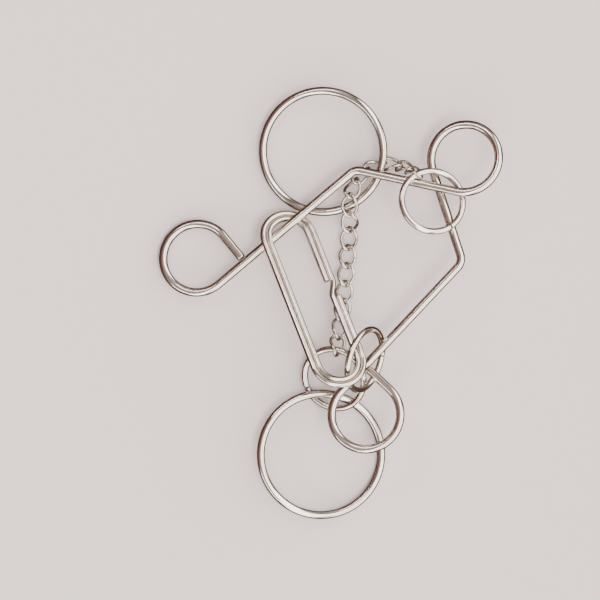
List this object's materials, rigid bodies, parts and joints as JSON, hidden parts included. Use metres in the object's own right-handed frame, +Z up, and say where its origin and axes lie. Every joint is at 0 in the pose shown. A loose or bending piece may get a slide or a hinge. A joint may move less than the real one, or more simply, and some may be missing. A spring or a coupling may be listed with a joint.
{
  "type": "metal ring disentanglement puzzle",
  "caption": "Bent wire disentanglement puzzle: a three-eyed frame, a long double-wound loop, large and small rings and a curb chain, all linked and lying flat.",
  "frame": {"origin": "on the table under the middle of the puzzle lying flat", "axes": "+Z up from the table, +Y along the length from the lower large ring to the upper large ring, +X to the right seen from above"},
  "size_m": [0.1202, 0.1516, 0.0314],
  "materials": {
    "frame_wire": "polished nickel plate on 3 mm steel wire",
    "loop_wire": "polished nickel plate with fine lengthwise drawing lines",
    "ring_wire": "polished nickel plate",
    "chain_wire": "tumbled nickel plate"
  },
  "bodies": {
    "wire_frame": {"wire_frame": "frame_wire"},
    "long_loop": {"long_loop": "loop_wire"},
    "upper_ring": {"upper_ring": "ring_wire"},
    "lower_ring": {"lower_ring": "ring_wire"},
    "slide_ring": {"slide_ring": "ring_wire"},
    "end_ring": {"end_ring": "ring_wire"},
    "linking_ring": {"linking_ring": "ring_wire"},
    "chain_link_01": {"chain_link_01": "chain_wire"},
    "chain_link_02": {"chain_link_02": "chain_wire"},
    "chain_link_03": {"chain_link_03": "chain_wire"},
    "chain_link_04": {"chain_link_04": "chain_wire"},
    "chain_link_05": {"chain_link_05": "chain_wire"},
    "chain_link_06": {"chain_link_06": "chain_wire"},
    "chain_link_07": {"chain_link_07": "chain_wire"},
    "chain_link_08": {"chain_link_08": "chain_wire"},
    "chain_link_09": {"chain_link_09": "chain_wire"},
    "chain_link_10": {"chain_link_10": "chain_wire"},
    "chain_link_11": {"chain_link_11": "chain_wire"},
    "chain_link_12": {"chain_link_12": "chain_wire"},
    "chain_link_13": {"chain_link_13": "chain_wire"},
    "chain_link_14": {"chain_link_14": "chain_wire"},
    "chain_link_15": {"chain_link_15": "chain_wire"}
  },
  "joints": [
    {"name": "upper_ring_spin", "type": "hinge", "parent": "wire_frame", "child": "upper_ring", "pos_m": [-0.0025, 0.0534, 0.0054], "axis": [-0.131, -0.0917, 0.9871], "continuous": true},
    {"name": "lower_ring_spin", "type": "hinge", "parent": "wire_frame", "child": "lower_ring", "pos_m": [-0.0032, -0.0529, 0.004], "axis": [0.1183, 0.0041, 0.993], "continuous": true},
    {"name": "slide_ring_spin", "type": "hinge", "parent": "wire_frame", "child": "slide_ring", "pos_m": [0.0355, 0.0358, 0.0165], "axis": [0.1944, 0.2316, 0.9532], "continuous": true},
    {"name": "end_ring_spin", "type": "hinge", "parent": "wire_frame", "child": "end_ring", "pos_m": [0.0014, -0.0263, 0.0062], "axis": [-0.3356, -0.2917, 0.8957], "continuous": true},
    {"name": "linking_ring_spin", "type": "hinge", "parent": "wire_frame", "child": "linking_ring", "pos_m": [0.012, -0.0195, 0.0179], "axis": [0.8262, -0.2447, 0.5075], "continuous": true},
    {"name": "long_loop_roll", "type": "hinge", "parent": "wire_frame", "child": "long_loop", "pos_m": [-0.006, 0.0018, 0.0175], "axis": [0.3431, -0.8709, 0.3518], "range_deg": [-8, 2]},
    {"name": "chain_joint_01", "type": "hinge", "parent": "wire_frame", "child": "chain_link_01", "pos_m": [0.0306, 0.0448, 0.0163], "axis": [-0.8379, -0.2793, 0.4689], "range_deg": [-3, 4]},
    {"name": "chain_joint_02", "type": "hinge", "parent": "chain_link_01", "child": "chain_link_02", "pos_m": [0.0278, 0.0468, 0.011], "axis": [-0.8379, -0.2793, 0.4689], "range_deg": [-8, 6]},
    {"name": "chain_joint_03", "type": "hinge", "parent": "chain_link_02", "child": "chain_link_03", "pos_m": [0.0241, 0.0485, 0.0062], "axis": [-0.8379, -0.2793, 0.4689], "range_deg": [-3, 4]},
    {"name": "chain_joint_04", "type": "hinge", "parent": "chain_link_03", "child": "chain_link_04", "pos_m": [0.0188, 0.0492, 0.003], "axis": [0.5, -0.45, 0.74], "range_deg": [-6, 6]},
    {"name": "chain_joint_05", "type": "hinge", "parent": "chain_link_04", "child": "chain_link_05", "pos_m": [0.0128, 0.0471, 0.0028], "axis": [0.5, -0.45, 0.74], "range_deg": [-12, 12]},
    {"name": "chain_joint_06", "type": "hinge", "parent": "chain_link_05", "child": "chain_link_06", "pos_m": [0.0088, 0.0432, 0.0056], "axis": [0.5, -0.45, 0.74], "range_deg": [-6, 6]},
    {"name": "chain_joint_07", "type": "hinge", "parent": "chain_link_06", "child": "chain_link_07", "pos_m": [0.007, 0.0378, 0.0083], "axis": [-0.2501, -0.3301, 0.9102], "range_deg": [-6, 6]},
    {"name": "chain_joint_08", "type": "hinge", "parent": "chain_link_07", "child": "chain_link_08", "pos_m": [0.0067, 0.0315, 0.0074], "axis": [-0.2501, -0.3301, 0.9102], "range_deg": [-12, 12]},
    {"name": "chain_joint_09", "type": "hinge", "parent": "chain_link_08", "child": "chain_link_09", "pos_m": [0.007, 0.026, 0.0043], "axis": [-0.2501, -0.3301, 0.9102], "range_deg": [-6, 6]},
    {"name": "chain_joint_10", "type": "hinge", "parent": "chain_link_09", "child": "chain_link_10", "pos_m": [0.0063, 0.0197, 0.0032], "axis": [0, 0, 1], "range_deg": [-8, 8]},
    {"name": "chain_joint_11", "type": "hinge", "parent": "chain_link_10", "child": "chain_link_11", "pos_m": [0.0059, 0.0134, 0.0038], "axis": [0, 0, 1], "range_deg": [-16, 16]},
    {"name": "chain_joint_12", "type": "hinge", "parent": "chain_link_11", "child": "chain_link_12", "pos_m": [0.0053, 0.0071, 0.0044], "axis": [0, 0, 1], "range_deg": [-8, 8]},
    {"name": "chain_joint_13", "type": "hinge", "parent": "chain_link_12", "child": "chain_link_13", "pos_m": [0.0046, 0.0009, 0.0051], "axis": [0, 0, 1], "range_deg": [-8, 7]},
    {"name": "chain_joint_14", "type": "hinge", "parent": "chain_link_13", "child": "chain_link_14", "pos_m": [0.0038, -0.0055, 0.0059], "axis": [0, 0, 1], "range_deg": [-14, 16]},
    {"name": "chain_joint_15", "type": "hinge", "parent": "chain_link_14", "child": "chain_link_15", "pos_m": [0.0028, -0.0117, 0.0072], "axis": [0, 0, 1], "range_deg": [-8, 7]}
  ],
  "couplings": [
    {"joint": "chain_joint_02", "follows": "chain_joint_01", "ratio": -2},
    {"joint": "chain_joint_03", "follows": "chain_joint_01", "ratio": 1},
    {"joint": "chain_joint_05", "follows": "chain_joint_04", "ratio": -2},
    {"joint": "chain_joint_06", "follows": "chain_joint_04", "ratio": 1},
    {"joint": "chain_joint_08", "follows": "chain_joint_07", "ratio": -2},
    {"joint": "chain_joint_09", "follows": "chain_joint_07", "ratio": 1},
    {"joint": "chain_joint_11", "follows": "chain_joint_10", "ratio": -2},
    {"joint": "chain_joint_12", "follows": "chain_joint_10", "ratio": 1},
    {"joint": "chain_joint_14", "follows": "chain_joint_13", "ratio": -2},
    {"joint": "chain_joint_15", "follows": "chain_joint_13", "ratio": 1}
  ]
}
